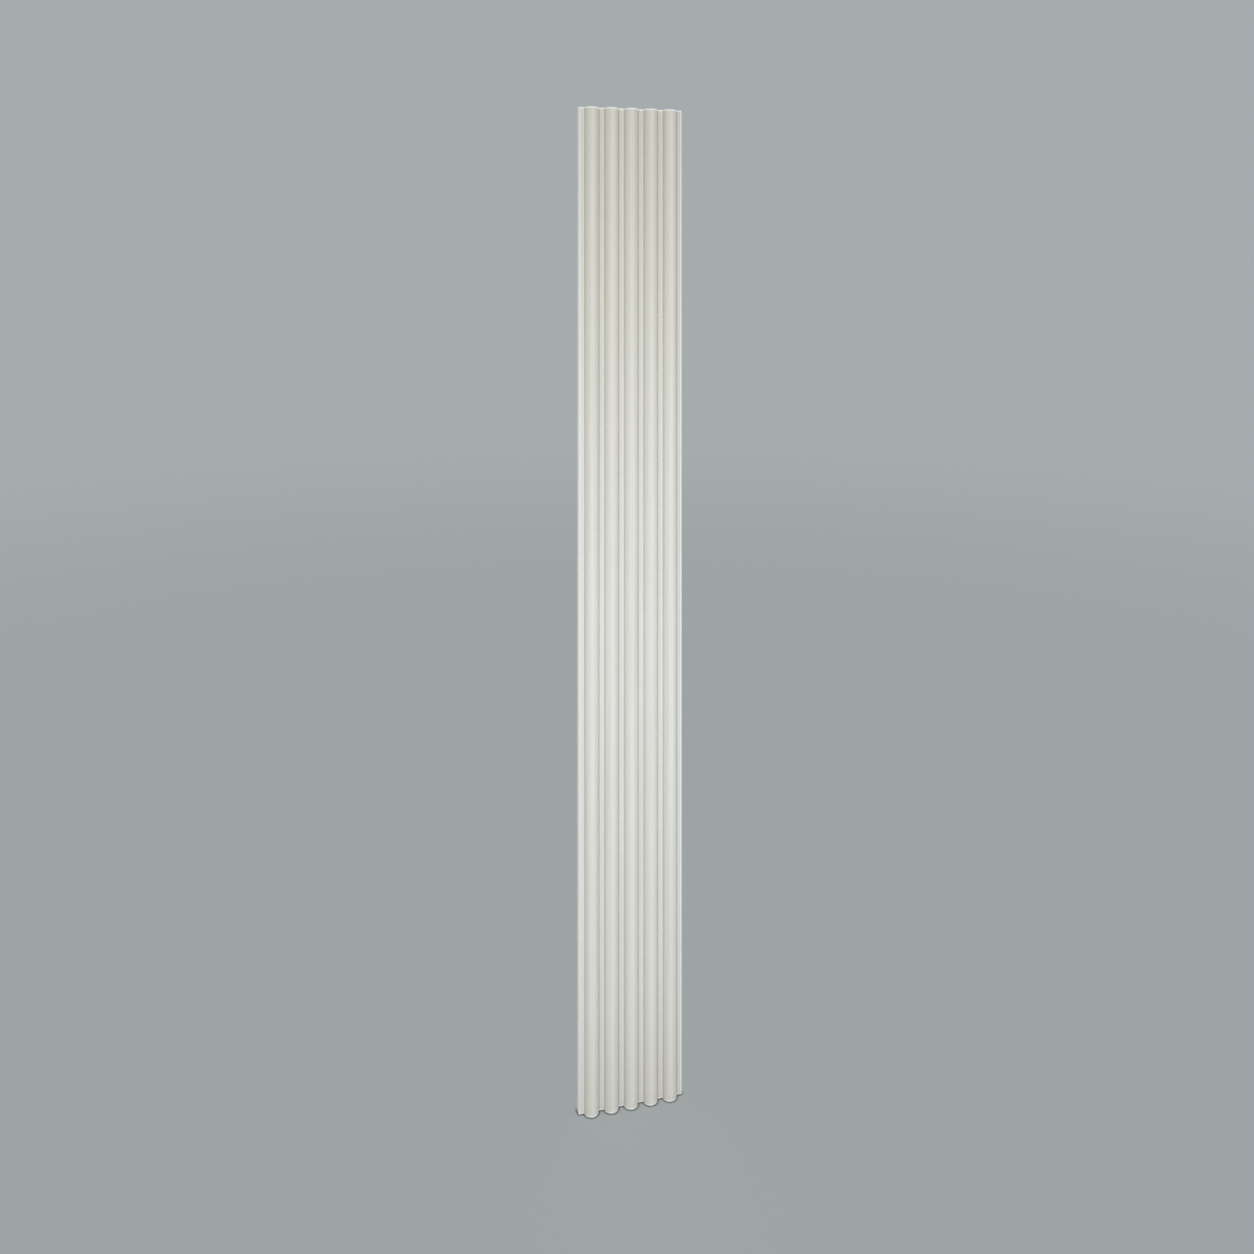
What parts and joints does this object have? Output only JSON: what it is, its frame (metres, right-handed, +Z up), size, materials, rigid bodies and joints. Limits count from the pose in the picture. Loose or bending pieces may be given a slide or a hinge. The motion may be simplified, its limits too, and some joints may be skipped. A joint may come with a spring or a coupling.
{
  "type": "pilaster shaft",
  "caption": "Tall flat-backed plaster pilaster shaft with half-round reeds parted by flat fillets, both ends cut square.",
  "frame": {"origin": "the bottom middle of the flat back, where the shaft meets the wall and its foot", "axes": "+Z up the shaft, +X across its face to the right as one stands at the wall looking out of it, +Y into the wall, so that the reeded face looks towards -Y"},
  "size_m": [0.229, 0.0345, 2.134],
  "materials": {
    "plaster": "matte"
  },
  "bodies": {
    "root": {"shaft": "plaster"}
  },
  "joints": []
}
